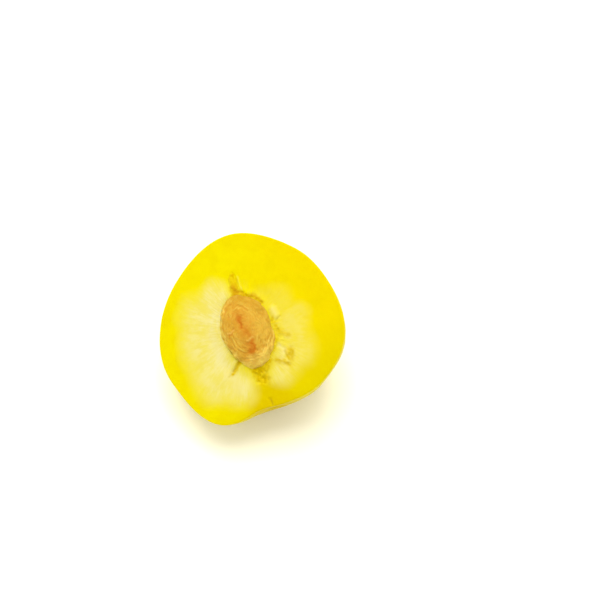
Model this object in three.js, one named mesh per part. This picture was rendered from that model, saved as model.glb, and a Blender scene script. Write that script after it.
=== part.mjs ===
// Half of a ripe yellow plum, cut round its stone and twisted apart, with the stone left in it.
// It lies on its round cheek, and its cut face tips a little towards the front (-Y).
//
// Each solid is shaped in the frame of the cut face, in millimetres: +Y runs from the stem end
// to the tip of the fruit, +Z points out of the cut face, and the origin is the middle of the
// face. The last lines turn the half to the way that it lies, with +Z up.
import * as THREE from "three";
import { mergeVertices } from "three/addons/utils/BufferGeometryUtils.js";

const degrees = THREE.MathUtils.degToRad;

// Driving dimensions
const FACE_RADIUS = 22.6;
const CHEEK_DEPTH = 21.6;
const RIM_ROUND = 0.35; // the skin's cut edge is rounded off by this much
const STONE = { length: 18.8, width: 12.4, thickness: 9.4 };
const STONE_SINK = 0.5; // the stone's middle plane lies this far under the cut face
const STONE_PLACE = new THREE.Vector3(-1.6, -0.35, 0); // it sits a little off the middle
const STONE_TURN = degrees(13.5); // and askew to the fruit's axis
const STONE_RELIEF = 0.4;
const GAP = 0.3; // between the stone and the flesh that holds it
const COLLAR = { width: 3.2, height: 0.45 }; // torn flesh that stands up round the stone
const REST_TILT = degrees(20.8);
const FACE_TURN = degrees(45); // how far the fruit's axis is turned within the cut face
const PRESSED = 0.8; // how far the skin gives way where the half rests

// Fineness
const SPOKES = 112;
const SKIN_RINGS = 12;
const FACE_RINGS = 10;
const COLLAR_RINGS = 5;
const SOCKET_RINGS = 7;
const STONE_SPOKES = 56;
const STONE_RINGS = 32;

// The socket starts as round as the circle with the stone's mean radius, and is stretched later.
const MEAN_RADIUS = (STONE.length + STONE.width) / 4;
const STRETCH = {
  x: STONE.width / 2 / MEAN_RADIUS,
  y: STONE.length / 2 / MEAN_RADIUS,
};
const SOCKET_RADIUS = MEAN_RADIUS + GAP;
const SOCKET_DEPTH = STONE.thickness / 2 + GAP;
const LIP_ANGLE = Math.asin((STONE_SINK + COLLAR.height) / SOCKET_DEPTH);
const LIP_RADIUS = SOCKET_RADIUS * Math.cos(LIP_ANGLE);
const SOCKET_REACH = 12; // how far round the socket the flesh follows when it is stretched

// Soft moves: what is held moves whole, and what is within reach of it follows less and less.
function share(distance, reach) {
  const near = Math.max(0, 1 - distance / reach);
  return near * near * (3 - 2 * near);
}

function softShares(points, held, reach) {
  return points.map((p) => {
    const nearest = Math.min(...held.map((q) => q.distanceTo(p)));
    return share(nearest, reach);
  });
}

// Takes hold of the one point nearest to a place, and draws it and what is round it along.
function pull(points, { at, reach, by }) {
  const nearer = (a, b) => (b.distanceTo(at) < a.distanceTo(at) ? b : a);
  const start = points.reduce(nearer).clone();
  const shares = softShares(points, [start], reach);
  points.forEach((p, i) => p.addScaledVector(by, shares[i]));
}

function onRim(angle, radius = FACE_RADIUS) {
  const a = degrees(angle);
  return new THREE.Vector3(radius * Math.cos(a), radius * Math.sin(a), 0);
}

// Moves the rim outwards at that angle, or inwards if the distance is negative.
function rimPull(angle, distance, reach) {
  return { at: onRim(angle), reach, by: onRim(angle, distance) };
}

// A closed body of rings and spokes, from a profile that starts and ends on its axis.
function turned(profile, spokes) {
  const lathe = new THREE.LatheGeometry(profile, spokes).rotateX(Math.PI / 2);
  lathe.deleteAttribute("normal");
  lathe.deleteAttribute("uv");
  const merged = mergeVertices(lathe, 1e-4);
  const place = merged.getAttribute("position");
  const points = Array.from({ length: place.count }, (_, i) =>
    new THREE.Vector3().fromBufferAttribute(place, i),
  );
  const triangles = [];
  for (let i = 0; i < merged.index.count; i += 3) {
    const [a, b, c] = [0, 1, 2].map((k) => merged.index.getX(i + k));
    if (a !== b && b !== c && c !== a) triangles.push(a, b, c);
  }
  return { points, triangles };
}

function solid(name, { points, triangles }, material) {
  const geometry = new THREE.BufferGeometry()
    .setFromPoints(points)
    .setIndex(triangles);
  geometry.computeVertexNormals();
  const mesh = new THREE.Mesh(geometry, material);
  mesh.name = name;
  return mesh;
}

// The half's profile, from the back of the cheek along the skin, over the rim, across the cut
// face, up the collar and down the wall of the socket.
function halfProfile() {
  const profile = [];
  const add = (r, z) => profile.push(new THREE.Vector2(r, z));
  for (let i = 0; i < SKIN_RINGS; i++) {
    const a = ((i / SKIN_RINGS) * Math.PI) / 2;
    add(FACE_RADIUS * Math.sin(a), -CHEEK_DEPTH * Math.cos(a));
  }
  add(FACE_RADIUS, -RIM_ROUND);
  add(FACE_RADIUS - 0.3 * RIM_ROUND, -0.3 * RIM_ROUND);
  const faceEdge = FACE_RADIUS - RIM_ROUND;
  const collarFoot = LIP_RADIUS + COLLAR.width;
  for (let i = 0; i <= FACE_RINGS; i++) {
    add(faceEdge + ((collarFoot - faceEdge) * i) / FACE_RINGS, 0);
  }
  for (let i = 1; i < COLLAR_RINGS; i++) {
    const out = COLLAR.width * (1 - i / COLLAR_RINGS);
    add(LIP_RADIUS + out, COLLAR.height * share(out, COLLAR.width));
  }
  // The wall keeps the same gap to the stone all the way down.
  for (let i = 0; i <= SOCKET_RINGS; i++) {
    const a = LIP_ANGLE - ((LIP_ANGLE + Math.PI / 2) * i) / SOCKET_RINGS;
    const r = i === SOCKET_RINGS ? 0 : SOCKET_RADIUS * Math.cos(a);
    add(r, SOCKET_DEPTH * Math.sin(a) - STONE_SINK);
  }
  return profile;
}

// The torn collar's height at an angle round the stone, as a factor of about 0.5 to 1.6
function ragged(angle) {
  return (
    1 +
    0.25 * Math.sin(3 * angle + 3.4) +
    0.2 * Math.sin(7 * angle + 0.6) +
    0.15 * Math.sin(13 * angle + 2.1)
  );
}

// The outline of the fruit: a full shoulder beside the stem, the stem hollow, and the tip
const OUTLINE_PULLS = [
  rimPull(238, 2.3, 13.5),
  rimPull(193, 1.9, 25),
  rimPull(273, -1.8, 14.5),
  rimPull(267, -0.5, 6),
  rimPull(294, -1.2, 20),
  rimPull(95, 2.1, 17),
  rimPull(132, 0.9, 24),
  rimPull(22, -0.65, 13.5),
  rimPull(338, 0.3, 10),
];

// What marks the cut face, each along a line from one [x, y] to another: how far to each side it
// reaches, and how high it stands at its two ends, or how deep it goes if that is negative
const FACE_MARKS = {
  paleLobeLeft: { from: [-12.5, 8], to: [-9, -12], reach: 8, height: [0.45, 0.5] },
  paleLobeRight: { from: [8, 7], to: [10, -10], reach: 7, height: [0.35, 0.4] },
  slit: { from: [-4.6, -6.8], to: [-7.9, -10.9], reach: 0.8, height: [-1.7, -0.3] },
  tipStrandBed: { from: [-2.5, 8.6], to: [-3.1, 15], reach: 1.8, height: [-0.7, -0.3] },
  tipStrand: { from: [-2.5, 9], to: [-3.1, 15], reach: 0.8, height: [0.8, 0.35] },
  stemStrandBed: { from: [-1.6, -9], to: [0.4, -14.6], reach: 2.4, height: [-0.9, -0.3] },
  stemFibreLeft: { from: [-1.4, -9.8], to: [-0.6, -12.8], reach: 0.8, height: [0.7, 0.4] },
  stemFibreRight: { from: [0.4, -9.8], to: [0.5, -12.2], reach: 0.8, height: [0.6, 0.6] },
  stemScar: { from: [1.4, -17.8], to: [1.9, -19.4], reach: 1, height: [-0.2, -0.6] },
  flap: { from: [5, 3.4], to: [6.9, 1], reach: 1.3, height: [0.5, 0.8] },
  pocket: { from: [6.3, -0.5], to: [6.7, -2.5], reach: 1, height: [-1.1, -0.5] },
  curlLong: { from: [8.2, -5.9], to: [9.2, -9.3], reach: 1, height: [0.3, 0.4] },
  curlShort: { from: [6.7, -9.4], to: [8, -10.7], reach: 0.9, height: [0.35, 0.25] },
};
const FACE_MARK_LEVEL = -1; // marks touch only what lies higher than this

function markFace(points, { from, to, reach, height }) {
  const start = new THREE.Vector2(...from);
  const way = new THREE.Vector2(...to).sub(start);
  for (const p of points) {
    if (p.z < FACE_MARK_LEVEL) continue;
    const off = new THREE.Vector2(p.x, p.y).sub(start);
    const along = THREE.MathUtils.clamp(off.dot(way) / way.lengthSq(), 0, 1);
    const aside = off.addScaledVector(way, -along).length();
    const full = THREE.MathUtils.lerp(height[0], height[1], along);
    p.z += full * share(aside, reach);
  }
}

function plumHalf() {
  const body = turned(halfProfile(), SPOKES);
  const { points } = body;
  const inSocket = (p) =>
    p.z > -SOCKET_DEPTH - STONE_SINK - 0.1 &&
    Math.hypot(p.x, p.y) < SOCKET_RADIUS + 0.01;

  // The outline is drawn out of round, but the socket keeps its fit to the stone.
  const loose = points.filter((p) => !inSocket(p));
  OUTLINE_PULLS.forEach((one) => pull(loose, one));
  for (const p of points) {
    if (p.z > 0) p.z *= ragged(Math.atan2(p.y, p.x));
  }

  // The socket is stretched to the stone's oval, turned and set in its place.
  const shares = softShares(
    points,
    points.filter(inSocket).map((p) => p.clone()),
    SOCKET_REACH,
  );
  const upwards = new THREE.Vector3(0, 0, 1);
  points.forEach((p, i) => {
    p.x *= 1 + (STRETCH.x - 1) * shares[i];
    p.y *= 1 + (STRETCH.y - 1) * shares[i];
    p.applyAxisAngle(upwards, STONE_TURN * shares[i]);
    p.addScaledVector(STONE_PLACE, shares[i]);
  });
  Object.values(FACE_MARKS).forEach((mark) => markFace(points, mark));
  points.filter(inSocketMouth).forEach(keepOffStone);
  return body;
}

// What the marks have moved at the socket's mouth goes back to its gap from the stone.
const SOCKET_PLACE = new THREE.Matrix4()
  .makeTranslation(STONE_PLACE.x, STONE_PLACE.y, -STONE_SINK)
  .multiply(new THREE.Matrix4().makeRotationZ(STONE_TURN))
  .scale(
    new THREE.Vector3(
      SOCKET_RADIUS * STRETCH.x,
      SOCKET_RADIUS * STRETCH.y,
      SOCKET_DEPTH,
    ),
  );
const TO_SOCKET = SOCKET_PLACE.clone().invert();

function inSocketMouth(p) {
  const q = p.clone().applyMatrix4(TO_SOCKET);
  return q.z > 0 && q.length() < 1;
}

function keepOffStone(p) {
  p.applyMatrix4(TO_SOCKET);
  const wall = Math.sqrt(1 - p.z * p.z) / Math.hypot(p.x, p.y);
  p.x *= wall;
  p.y *= wall;
  p.applyMatrix4(SOCKET_PLACE);
}

// The stone's rough top, from about -1 to 1: ridges that curve round one end, low lumps, and a
// pit on each side of the middle
function stoneRelief(x, y) {
  const arcs = Math.sin(2.8 * Math.hypot(x - 0.8, y + 0.5) + 0.6 * Math.sin(1.3 * x));
  const lumps = Math.sin(1.7 * x + 0.8) * Math.sin(1.3 * y - 0.4);
  const pits =
    share(Math.hypot(x + 0.8, y - 3.4), 1.9) +
    share(Math.hypot(x + 0.6, y + 3.6), 1.7);
  const upperHalf = share(Math.max(0, 3 - y), 6);
  return 0.5 * upperHalf * arcs + 0.4 * lumps - 1.1 * pits;
}

// A flattened oval with a blunt keel round its edge, rough where it shows
function plumStone() {
  const profile = [];
  for (let i = 0; i <= STONE_RINGS; i++) {
    const a = (i / STONE_RINGS - 0.5) * Math.PI;
    const r = i % STONE_RINGS === 0 ? 0 : MEAN_RADIUS * Math.cos(a);
    profile.push(new THREE.Vector2(r, (STONE.thickness / 2) * Math.sin(a)));
  }
  const body = turned(profile, STONE_SPOKES);
  const upwards = new THREE.Vector3(0, 0, 1);
  for (const p of body.points) {
    const rise = THREE.MathUtils.clamp((3 * p.z) / STONE.thickness, 0, 1);
    p.z += STONE_RELIEF * rise * stoneRelief(p.x, p.y) - STONE_SINK;
    p.x *= STRETCH.x;
    p.y *= STRETCH.y;
    p.applyAxisAngle(upwards, STONE_TURN);
    p.add(STONE_PLACE);
  }
  return body;
}

const fleshAndSkin = new THREE.MeshStandardMaterial({
  color: "#f7e020",
  roughness: 0.42,
  metalness: 0,
});
const stoneShell = new THREE.MeshStandardMaterial({
  color: "#d99b45",
  roughness: 0.6,
  metalness: 0,
});

// The half is turned within its face, tipped to the front, and pressed flat where it rests.
const face = new THREE.Group();
face.rotation.z = FACE_TURN;
const half = solid("plum_half", plumHalf(), fleshAndSkin);
face.add(half, solid("plum_stone", plumStone(), stoneShell));

const plum = new THREE.Group();
plum.rotation.x = REST_TILT;
plum.add(face);
plum.updateMatrixWorld(true);

const place = half.geometry.getAttribute("position");
const lying = Array.from({ length: place.count }, (_, i) =>
  new THREE.Vector3().fromBufferAttribute(place, i).applyMatrix4(half.matrixWorld),
);
const restLevel = Math.min(...lying.map((p) => p.z)) + PRESSED;
const backToFace = half.matrixWorld.clone().invert();
lying.forEach((p, i) => {
  p.z = Math.max(p.z, restLevel);
  p.applyMatrix4(backToFace);
  place.setXYZ(i, p.x, p.y, p.z);
});

const box = new THREE.Box3().setFromObject(plum, true);
const middle = box.getCenter(new THREE.Vector3());
plum.position.set(-middle.x, -middle.y, -box.min.z);

export default plum;
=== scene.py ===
# %% [markdown]
# # Half a ripe plum with its stone
#
# The object is one half of a yellow plum. It was cut round the stone with a knife and twisted
# apart, and this half kept the stone. We load the measured solids first, because they hold the
# true size, and then model two finer pieces over them: the half with its skin and flesh, and the
# stone. The strand, the torn threads, the fibres and the scars are worked into their surfaces.

# %% Load the measured solids
import math

import bmesh
import bpy
from mathutils import Matrix, Vector, noise


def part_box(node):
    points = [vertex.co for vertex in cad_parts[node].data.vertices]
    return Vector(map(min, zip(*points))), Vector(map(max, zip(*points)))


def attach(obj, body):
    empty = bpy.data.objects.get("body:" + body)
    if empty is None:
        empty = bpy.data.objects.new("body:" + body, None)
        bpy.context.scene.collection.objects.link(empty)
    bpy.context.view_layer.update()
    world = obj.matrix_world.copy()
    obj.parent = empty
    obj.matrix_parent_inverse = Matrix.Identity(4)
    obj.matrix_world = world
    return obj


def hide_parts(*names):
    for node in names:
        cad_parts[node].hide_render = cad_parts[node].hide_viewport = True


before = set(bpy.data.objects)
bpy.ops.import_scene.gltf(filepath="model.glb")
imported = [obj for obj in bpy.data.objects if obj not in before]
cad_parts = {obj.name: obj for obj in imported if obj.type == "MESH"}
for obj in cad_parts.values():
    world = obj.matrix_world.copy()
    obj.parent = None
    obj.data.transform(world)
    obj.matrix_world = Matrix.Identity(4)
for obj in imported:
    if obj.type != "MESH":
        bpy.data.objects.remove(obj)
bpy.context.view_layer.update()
bpy.ops.object.select_all(action="DESELECT")
MM = 0.001

# %% [markdown]
# ## The dimensions
#
# A fruit has no straight edges to measure from, so everything is placed from the middle of the
# cut face. In that frame +Y runs from the stem end to the tip of the fruit and +Z points out of
# the cut. The main numbers are the same as the solids have. Only at the end is each piece turned
# and laid down, because a shape is far easier to model while its main face is level.

# %% Dimensions of the fruit, the stone and the way they lie
FACE_RADIUS = 22.6 * MM
CHEEK_DEPTH = 21.6 * MM
RIM_ROUND = 0.35 * MM
STONE_LENGTH = 18.8 * MM
STONE_WIDTH = 12.4 * MM
STONE_THICKNESS = 9.4 * MM
STONE_SINK = 0.5 * MM
STONE_PLACE = Vector((-1.6, -0.35, 0)) * MM
STONE_TURN = math.radians(13.5)
STONE_MEAN = (STONE_LENGTH + STONE_WIDTH) / 4
STONE_STRETCH = (STONE_WIDTH / 2 / STONE_MEAN, STONE_LENGTH / 2 / STONE_MEAN)
CLING = 0.04 * MM
COLLAR_WIDTH = 3.2 * MM
COLLAR_HEIGHT = 0.4 * MM
REST_TILT = math.radians(20.8)
FACE_TURN = math.radians(45)
PRESSED = 0.8 * MM
print("stone", STONE_LENGTH / MM, "x", STONE_WIDTH / MM, "mm in a face", 2 * FACE_RADIUS / MM, "mm wide")

# %% [markdown]
# ## A line drawn by extruding, then spun
#
# Half a round fruit is a solid of revolution to start with. We draw its section as a line, one
# extruded vertex after another: up the skin, over the cut edge, across the face, up a low collar
# of torn flesh, and down into the hollow that holds the stone. Spin turns that line once round.
# A sphere cut by a plane would also give a half, but its rings would not follow the cut edge and
# the socket, and those two lines are what the eye reads first.


# %% Helpers for drawing and holding pieces
def hold(piece):
    """Makes the piece the one that operators act on."""
    bpy.ops.object.select_all(action="DESELECT")
    piece.select_set(True)
    bpy.context.view_layer.objects.active = piece
    return piece


def draw_line(name, points):
    """A line of extruded vertices in the XZ plane, from (distance from the axis, height) pairs."""
    bpy.ops.mesh.primitive_plane_add(size=MM)
    piece = bpy.context.object
    piece.name = piece.data.name = name
    bpy.ops.object.mode_set(mode="EDIT")
    bpy.ops.mesh.merge(type="CENTER")
    bpy.ops.transform.translate(value=(points[0][0], 0, points[0][1]))
    for (r0, z0), (r1, z1) in zip(points, points[1:]):
        step = {"value": (r1 - r0, 0, z1 - z0)}
        bpy.ops.mesh.extrude_region_move(TRANSFORM_OT_translate=step)
    bpy.ops.object.mode_set(mode="OBJECT")
    return piece


def spin_line(piece, spokes):
    """Turns the line once round Z, closes the seam and points the faces outwards."""
    hold(piece)
    bpy.ops.object.mode_set(mode="EDIT")
    bpy.ops.mesh.select_all(action="SELECT")
    bpy.ops.mesh.spin(steps=spokes, angle=2 * math.pi, center=(0, 0, 0), axis=(0, 0, 1))
    bpy.ops.mesh.select_all(action="SELECT")
    bpy.ops.mesh.remove_doubles(threshold=0.001 * MM)
    bpy.ops.mesh.normals_make_consistent(inside=False)
    bpy.ops.object.mode_set(mode="OBJECT")
    return piece


def share(distance, reach):
    """1 at no distance and 0 at the reach, along the smooth falloff of proportional editing."""
    near = max(0.0, 1 - distance / reach)
    return near * near * (3 - 2 * near)


# %% The section of the half
SPOKES = 208
SKIN_RINGS = 42
FACE_RINGS = 34
COLLAR_RINGS = 12
SOCKET_RINGS = 11
RINGS_TO_LIP = 1.7  # above 1, the socket's rings lie closer together at its mouth
socket_radius = STONE_MEAN - CLING
socket_depth = STONE_THICKNESS / 2 - CLING
lip_angle = math.asin((STONE_SINK + COLLAR_HEIGHT) / socket_depth)
lip_radius = socket_radius * math.cos(lip_angle)

section = []
for i in range(SKIN_RINGS):
    a = i / SKIN_RINGS * math.pi / 2
    section.append((FACE_RADIUS * math.sin(a), -CHEEK_DEPTH * math.cos(a)))
RIM_TURNS = (0, 30, 60)
for turn in RIM_TURNS:
    a = math.radians(turn)
    section.append((FACE_RADIUS - RIM_ROUND * (1 - math.cos(a)), -RIM_ROUND * (1 - math.sin(a))))
face_edge = FACE_RADIUS - RIM_ROUND
collar_foot = lip_radius + COLLAR_WIDTH
for i in range(FACE_RINGS + 1):
    section.append((face_edge + (collar_foot - face_edge) * i / FACE_RINGS, 0))
for i in range(1, COLLAR_RINGS):
    out = COLLAR_WIDTH * (1 - i / COLLAR_RINGS)
    section.append((lip_radius + out, COLLAR_HEIGHT * share(out, COLLAR_WIDTH)))
for i in range(SOCKET_RINGS + 1):
    a = lip_angle - (lip_angle + math.pi / 2) * (i / SOCKET_RINGS) ** RINGS_TO_LIP
    r = 0 if i == SOCKET_RINGS else socket_radius * math.cos(a)
    section.append((r, socket_depth * math.sin(a) - STONE_SINK))

half = spin_line(draw_line("plum_half_fine", section), SPOKES)
print("half:", len(section), "points in the section,", len(half.data.polygons), "faces")

# %% [markdown]
# ## Skin and flesh are told apart first
#
# While the body is still perfectly round, the skin is simply what lies outside the cut edge. The
# faces get their material slots now, and keep them through every later change of shape.

# %% Two material slots on the half
SKIN, FLESH = 0, 1
for name in ("plum skin", "plum flesh"):
    half.data.materials.append(bpy.data.materials.new(name))
for face in half.data.polygons:
    middle = face.center
    outside = middle.z < -0.3 * RIM_ROUND and middle.xy.length > 0.75 * FACE_RADIUS
    face.material_index = SKIN if outside or middle.z < -0.5 * CHEEK_DEPTH else FLESH
print("skin faces:", sum(f.material_index == SKIN for f in half.data.polygons))

# %% [markdown]
# ## Out of round
#
# A real plum is fuller on one shoulder, flat beside its stem and a little drawn out at its tip.
# Proportional editing gives such forms: one vertex on the cut edge is dragged in or out and its
# surroundings follow softly. The drags are few and wide, because a fruit has no small dents. The
# socket is hidden meanwhile, because a hidden vertex stays where it is, and it has to fit the stone.


# %% Drag the outline into its real shape
def drag(piece, place, reach, by):
    """Drags the vertex nearest to a place, and what lies within reach of it follows softly."""
    mesh = bmesh.from_edit_mesh(piece.data)
    nearest = min(mesh.verts, key=lambda v: (v.co - place).length_squared)
    for v in mesh.verts:
        if not v.hide:
            v.select_set(v is nearest)
    bmesh.update_edit_mesh(piece.data)
    bpy.ops.transform.translate(
        value=by,
        use_proportional_edit=True,
        proportional_edit_falloff="SMOOTH",
        proportional_size=reach,
    )


OUTLINE_DRAGS = [
    # angle round the face, distance outwards in mm, reach in mm
    (238, 2.3, 13.5),
    (193, 1.9, 25),
    (273, -1.8, 14.5),
    (267, -0.5, 6),
    (294, -1.2, 20),
    (95, 2.1, 17),
    (132, 0.9, 24),
    (22, -0.65, 13.5),
    (338, 0.3, 10),
]
SLACK_BELOW = 0.1 * MM
SLACK_AROUND = 0.01 * MM
hold(half)
bpy.ops.object.mode_set(mode="EDIT")
mesh = bmesh.from_edit_mesh(half.data)
for v in mesh.verts:
    high_enough = v.co.z > -socket_depth - STONE_SINK - SLACK_BELOW
    v.select_set(high_enough and v.co.xy.length < socket_radius + SLACK_AROUND)
bmesh.update_edit_mesh(half.data)
bpy.ops.object.vertex_group_assign_new()
bpy.ops.mesh.hide()
for angle, distance, reach in OUTLINE_DRAGS:
    outwards = Vector((math.cos(math.radians(angle)), math.sin(math.radians(angle)), 0))
    drag(half, outwards * FACE_RADIUS, reach * MM, outwards * distance * MM)
bpy.ops.mesh.reveal()
bpy.ops.object.mode_set(mode="OBJECT")
print("face after the drags:", [round(x / MM, 1) for x in half.dimensions])

# %% [markdown]
# ## The socket takes the stone's oval
#
# The socket was spun round. It is picked as a whole and stretched to an oval, turned and moved
# off the middle, again with proportional editing, so that the rings of the face ease from the
# oval at the stone to the round at the skin.

# %% Stretch, turn and shift the socket
SOCKET_REACH = 12 * MM
soft = {
    "use_proportional_edit": True,
    "proportional_edit_falloff": "SMOOTH",
    "proportional_size": SOCKET_REACH,
}
bpy.ops.object.mode_set(mode="EDIT")
bpy.ops.mesh.select_all(action="DESELECT")
bpy.ops.object.vertex_group_select()
bpy.ops.transform.resize(value=(*STONE_STRETCH, 1), center_override=(0, 0, 0), **soft)
bpy.ops.transform.rotate(value=-STONE_TURN, orient_axis="Z", center_override=(0, 0, 0), **soft)
bpy.ops.transform.translate(value=STONE_PLACE, **soft)
bpy.ops.object.mode_set(mode="OBJECT")
picked = [v.co for v in half.data.vertices if v.select]
socket_box = [max(c[k] for c in picked) - min(c[k] for c in picked) for k in range(3)]
print("socket:", [round(x / MM, 1) for x in socket_box], "mm")

# %% [markdown]
# ## Enough faces for fibres
#
# The fibres of the flesh are half a millimetre apart. One Subdivision modifier, applied now,
# brings the faces down to about a fifth of a millimetre, so that the fibres can be real relief
# that catches the light instead of a painted pattern. It comes after the soft drags, which need
# few vertices to be quick, and before the fine marks, which need many.


# %% Subdivide the half
def refine(piece, levels=1):
    """Applies a subdivision surface and shades the piece smooth."""
    hold(piece)
    bpy.ops.object.modifier_add(type="SUBSURF")
    finer = piece.modifiers[-1]
    finer.levels = finer.render_levels = levels
    finer.use_limit_surface = False
    bpy.ops.object.modifier_apply(modifier=finer.name)
    bpy.ops.object.shade_smooth()


refine(half)
print("half now has", len(half.data.polygons), "faces")

# %% [markdown]
# ## Relief by painted weights
#
# Most marks on the cut face are low: a strand, a slit, fibres, torn crumbs. We describe each as a
# stroke, a line with a reach to its sides, as a sculptor's brush would leave it. The strokes are
# painted into vertex groups and a Displace modifier lifts or lowers by them. The same brush later
# paints colour. Real sculpting would do this by hand, but it can't be repeated from a script.


# %% The brush and the displacement
def brushed(x, y, strokes):
    """How fully a place lies under the strokes: each is x0, y0, x1, y1, half width, soft edge."""
    most = 0.0
    for x0, y0, x1, y1, wide, soft_edge in strokes:
        way_x, way_y = x1 - x0, y1 - y0
        length = way_x * way_x + way_y * way_y
        gone = ((x - x0) * way_x + (y - y0) * way_y) / length
        gone = min(1.0, max(0.0, gone))
        off = math.hypot(x - x0 - gone * way_x, y - y0 - gone * way_y)
        most = max(most, 1 - ease((off - wide) / soft_edge + 0.5))
        if most >= 1:
            break
    return most


def ease(t):
    """A smooth step from 0 to 1."""
    t = min(1.0, max(0.0, t))
    return t * t * (3 - 2 * t)


def along(line, wide, soft_edge):
    """Strokes that follow a line of places."""
    return [(*a, *b, wide, soft_edge) for a, b in zip(line, line[1:])]


def layered(x, y, layers):
    """The strongest of several layers, each a pair of strokes and a strength."""
    return max(strength * brushed(x, y, strokes) for strokes, strength in layers)


def displace(piece, height_of, direction="Z"):
    """Moves each vertex by height_of(place in mm) millimetres, through vertex groups."""
    heights = [height_of(v.co / MM) for v in piece.data.vertices]
    hold(piece)
    for side in (1, -1):
        most = max(side * h for h in heights)
        if most <= 0:
            continue
        group = piece.vertex_groups.new(name="relief")
        for i, h in enumerate(heights):
            if side * h > 0:
                group.add([i], side * h / most, "REPLACE")
        bpy.ops.object.modifier_add(type="DISPLACE")
        relief = piece.modifiers[-1]
        relief.vertex_group = group.name
        relief.direction = direction
        relief.mid_level = 0
        relief.strength = side * most * MM
        bpy.ops.object.modifier_apply(modifier=relief.name)
        piece.vertex_groups.clear()
    print(piece.name, "moved by", round(min(heights), 2), "to", round(max(heights), 2), "mm")


def off_stone(x, y):
    """A place's distance from the stone's edge in mm, and its bearing round the stone."""
    dx, dy = x - STONE_PLACE.x / MM, y - STONE_PLACE.y / MM
    c, s = math.cos(STONE_TURN), math.sin(STONE_TURN)
    u = (dx * c + dy * s) / (STONE_WIDTH / MM / 2)
    w = (dy * c - dx * s) / (STONE_LENGTH / MM / 2)
    ring = max(0.05, math.hypot(u, w))
    return math.hypot(dx, dy) * (1 - 1 / ring), math.atan2(w, u)


def wandering(p, by, fineness):
    """The place, moved about by noise, which makes a straight edge wander."""
    q = p * fineness
    return p.x + by * noise.noise(q), p.y + by * noise.noise(q + Vector((9, 4, 2)))


# %% [markdown]
# ## The marks on the cut face
#
# In a cling-stone plum, threads run from the stem and the tip into the stone, and they tear when
# the halves are twisted apart. A strand stands above the stone, a slit runs off to its lower left,
# a flap and curls of flesh lie at its right, and torn threads below it. The pale flesh on both
# sides swells a little. All of this is low relief, so it is displaced straight out of the face.
# Each mark is a short line of places that the relief and the colours share.

# %% Strand, slit, swollen lobes and torn threads
LOBE_SWELL = 0.25
LOBES = [
    # strokes, strength
    (along([(-8.8, 9.6), (-12, 4.6)], 3.6, 4.6), 1.0),
    (along([(-11.6, 4.6), (-12.0, -3), (-9.8, -10.4)], 5.6, 7.0), 1.0),
    (along([(-9.8, -10.4), (-6.4, -13.6)], 4.2, 5.4), 1.0),
    (along([(3.6, 7.6), (7, 6.4)], 1.8, 4.4), 0.2),
    (along([(7, 6.4), (9.5, 0)], 3.0, 4.4), 0.35),
    (along([(9.5, 0), (12.2, 1.6)], 2.4, 2.8), 0.55),
    (along([(9.5, -1), (10.2, -7.2)], 4.2, 4.4), 0.75),
    (along([(9.8, -7.2), (5.6, -11.2)], 3.4, 5.0), 1.0),
]
STRAND_LEFT = [(-3.1, 15.0), (-4.4, 13.5), (-4.2, 11.8), (-3.6, 10.7)]
STRAND_RIGHT = [(-3.1, 15.0), (-2.4, 14.0), (-2.1, 12.7), (-2.1, 11.3), (-2.5, 10.5)]
STRAND_RIDGE = [(-2.0, 13.7), (-1.7, 12.2), (-1.5, 10.5)]
STRAND = [(-3.2, 14.2, -3.3, 13.3, 0.5, 0.7), (-3.3, 13.3, -3.0, 11.2, 0.9, 0.6)]
SLIT = [(-4.6, -7.4), (-5.3, -8.3), (-6.5, -9.6), (-7.8, -10.8)]
SLIT_GOLD = [(-4.3, -7.5), (-5.6, -9.2), (-6.8, -10.3)]
SLIT_LIP = [(-5.8, -7.3), (-7.1, -8.8), (-8.2, -10.1)]
KNIFE_MARK = [(-7.9, -11.0), (-12.4, -13.9)]
FLAP = [(5.6, 3.9), (6.1, 2.2)]
FLAP_SHADE = [(4.6, 1.2), (5.6, 0.5), (7.1, 1.8)]
CREVICE = [(-1.3, 9.6), (0.1, 7.9), (1.7, 7.7), (3.2, 5.9)]
GOLDEN_FILM = [(5.2, 1.4), (5.6, -0.8), (5.5, -3.4), (4.6, -5.6), (3.4, -7.2)]
CURLS = [
    [(8.0, -6.6), (9.0, -7.4), (8.6, -8.5), (7.9, -7.5)],
    [(4.5, -8.6), (6.2, -9.2), (7.2, -10.1), (7.8, -10.8)],
    [(7.0, -6.9), (7.7, -8.8)],
]
TORN_THREADS = [
    [(-1.7, -10.4), (-0.6, -9.3), (-0.1, -9.9), (0.5, -10.9), (1.6, -9.9), (2.9, -8.8)],
    [(-0.9, -10.8), (0.3, -11.9), (-0.6, -12.9)],
    [(2.2, -10.2), (1.6, -11.6), (1.0, -13.0)],
]
DARK_SPOTS = [(5.8, -0.5, 6.4, -1.9, 0.2, 0.5), (-0.8, -12.6, -0.3, -13.1, 0.1, 0.5)]
# Dark torn threads and curls, and painted shade: inside the slit, under the flap's lower edge and in the
# crevice above the stone.
THREADS_AND_PAINTED_SHADE = [
    # strokes, strength
    (along(STRAND_LEFT, 0.05, 0.5), 0.4),
    (along(STRAND_RIGHT, 0.05, 0.5), 0.6),
    (along(SLIT, 0.12, 0.6), 0.8),
    (along(SLIT[:3], 0.3, 0.6), 0.95),
    (along(KNIFE_MARK, 0.02, 0.4), 0.2),
    (along(FLAP_SHADE, 0.05, 0.6), 0.6),
    (along(CREVICE, 0.15, 0.7), 0.9),
    (along([(6.3, -1.9), (8.4, -3.2)], 0.1, 0.8), 0.5),
    (along([(5.9, -2.8), (6.0, -5.1)], 0.05, 0.6), 0.4),
    (DARK_SPOTS, 1.0),
] + [(along(line, 0.2, 0.6), 0.95) for line in CURLS + TORN_THREADS]
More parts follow.
